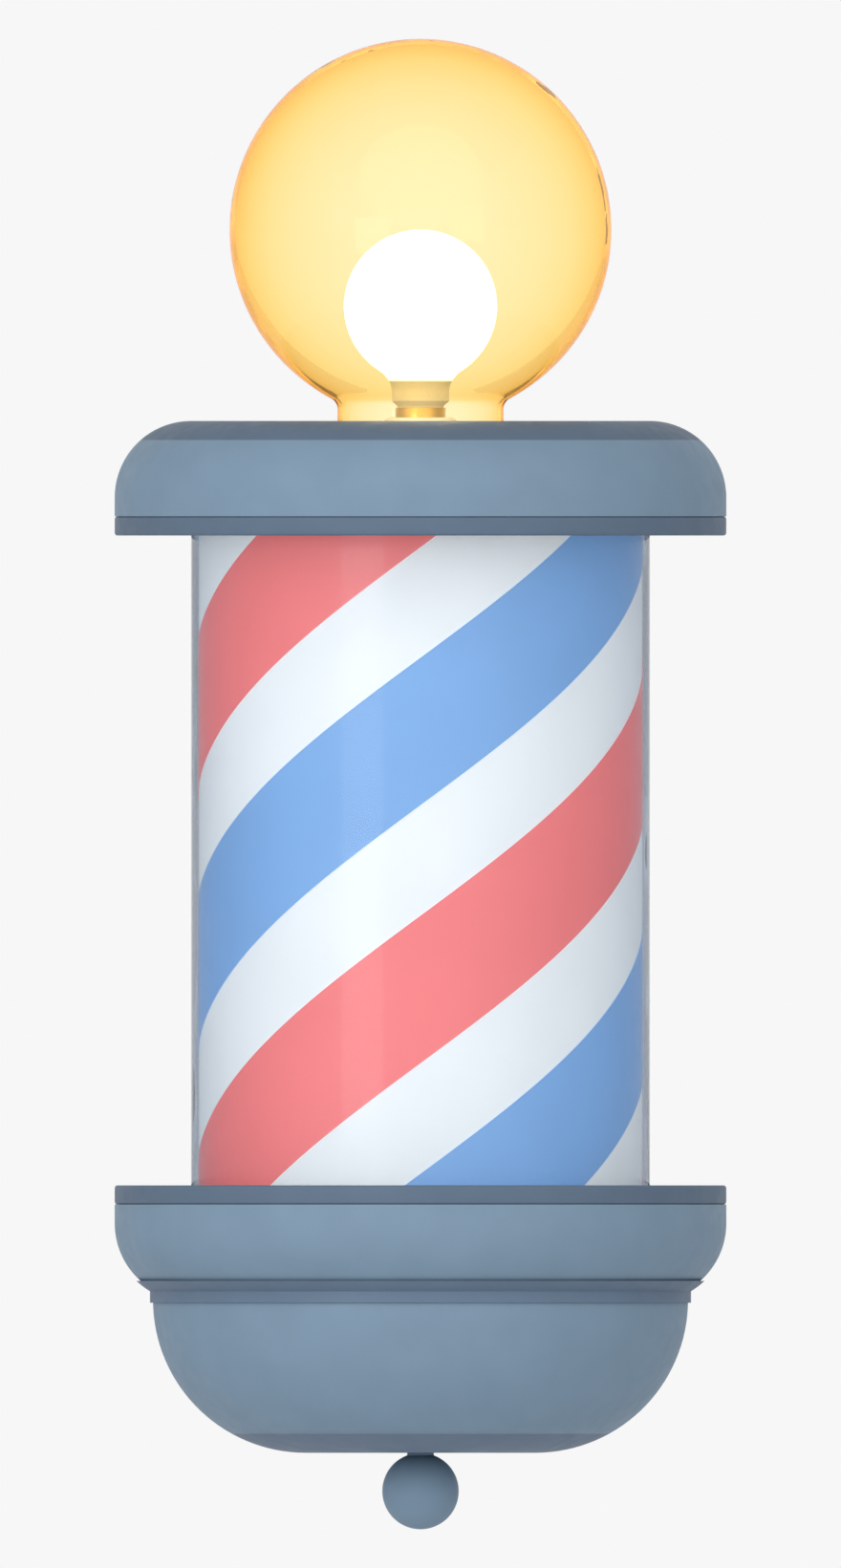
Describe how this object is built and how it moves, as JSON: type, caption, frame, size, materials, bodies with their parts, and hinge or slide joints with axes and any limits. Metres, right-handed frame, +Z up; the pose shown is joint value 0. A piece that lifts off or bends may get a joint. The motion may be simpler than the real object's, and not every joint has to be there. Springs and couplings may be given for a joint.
{
  "type": "barber pole light",
  "caption": "Wall-mounted barber pole light: striped drum turning inside a clear tube between round caps, globe lamp on top, bowl and ball finial below.",
  "frame": {"origin": "centre of the four wall holes, on the back face of the wall plate", "axes": "+Z up along the pole, +Y into the wall, -Y out to the viewer, +X to the viewer's right"},
  "size_m": [0.32, 0.35, 0.78],
  "materials": {
    "slate_paint": "satin slate-blue paint on spun steel",
    "dark_slate_paint": "satin dark slate-blue paint",
    "dark_slate_rings": "satin dark slate-blue paint on turned aluminium",
    "clear_acrylic": "clear, polished",
    "amber_glass": "pale amber glass, lit from inside",
    "white_drum": "white diffusing acrylic, lit from inside",
    "red_film": "translucent red film",
    "blue_film": "translucent blue film",
    "bulb_white": "frosted white glass, lit",
    "plate_paint": "satin dark slate-blue paint on plate steel",
    "zinc_steel": "zinc plated",
    "bright_steel": "ground bright",
    "aluminium": "satin",
    "brass": "satin",
    "bronze_bush": "sintered bronze",
    "gear_plastic": "natural nylon",
    "white_ceramic": "glazed porcelain",
    "circuit_board": "white circuit board with light chips",
    "motor_metal": "pressed zinc-plated can",
    "black_plastic": "fine texture",
    "ivory_plastic": "moulded",
    "box_plastic": "moulded dark slate plastic",
    "black_rubber": "matt"
  },
  "bodies": {
    "housing": {"top_cap": "slate_paint", "lower_cap": "slate_paint", "bowl": "slate_paint", "ball_finial": "slate_paint", "bowl_trim_ring": "dark_slate_paint", "bowl_bottom_cover": "dark_slate_paint", "crown_plate": "dark_slate_rings", "upper_tube_ring": "dark_slate_rings", "lower_tube_ring": "dark_slate_rings", "clear_tube": "clear_acrylic", "bulb_glass": "bulb_white", "wall_plate": "plate_paint", "upper_arm": "plate_paint", "lower_arm": "plate_paint", "arm_bolts": "zinc_steel", "spindle_nuts": "zinc_steel", "ring_posts": "zinc_steel", "crown_posts": "zinc_steel", "crown_screws": "zinc_steel", "motor_screws": "zinc_steel", "lid_screws": "zinc_steel", "finial_stud": "zinc_steel", "holder_bridge": "zinc_steel", "wire_conduit": "zinc_steel", "spindle": "bright_steel", "bearing_inner_ring": "bright_steel", "base_plate": "aluminium", "top_plate": "aluminium", "lamp_column": "aluminium", "globe_fitter": "aluminium", "bulb_base": "brass", "lamp_holder": "white_ceramic", "led_boards": "circuit_board", "motor_body": "motor_metal", "led_driver": "black_plastic", "switch_frames": "black_plastic", "terminal_block": "ivory_plastic", "junction_box": "box_plastic", "box_lid": "box_plastic", "tube_gaskets": "black_rubber", "fitter_gasket": "black_rubber", "cable_grommet": "black_rubber"},
    "drum": {"drum_shell": "white_drum", "red_stripes": "red_film", "blue_stripes": "blue_film", "drum_bottom_disc": "aluminium", "drum_top_disc": "aluminium", "top_bush": "bronze_bush", "drum_gear": "gear_plastic", "gear_screws": "zinc_steel", "bearing_outer_ring": "bright_steel", "bearing_balls": "bright_steel"},
    "pinion": {"pinion_gear": "brass", "motor_shaft": "bright_steel"},
    "globe": {"globe": "amber_glass", "globe_collar": "aluminium"},
    "motor_switch": {"motor_switch_rocker": "black_plastic"},
    "lamp_switch": {"lamp_switch_rocker": "black_plastic"}
  },
  "joints": [
    {"name": "drum_spin", "type": "hinge", "parent": "housing", "child": "drum", "pos_m": [0, -0.19, 0], "axis": [0, 0, 1], "continuous": true},
    {"name": "pinion_spin", "type": "hinge", "parent": "housing", "child": "pinion", "pos_m": [0.06, -0.19, -0.19], "axis": [0, 0, 1], "continuous": true},
    {"name": "globe_twist", "type": "hinge", "parent": "housing", "child": "globe", "pos_m": [0, -0.19, 0.22], "axis": [0, 0, 1], "range_deg": [0, 30]},
    {"name": "motor_switch_press", "type": "hinge", "parent": "housing", "child": "motor_switch", "pos_m": [0.0355, -0.043, -0.115], "axis": [0, 1, 0], "range_deg": [0, 20]},
    {"name": "lamp_switch_press", "type": "hinge", "parent": "housing", "child": "lamp_switch", "pos_m": [0.0355, -0.02, -0.115], "axis": [0, 1, 0], "range_deg": [0, 20]}
  ],
  "couplings": [
    {"joint": "pinion_spin", "follows": "drum_spin", "ratio": -4}
  ]
}
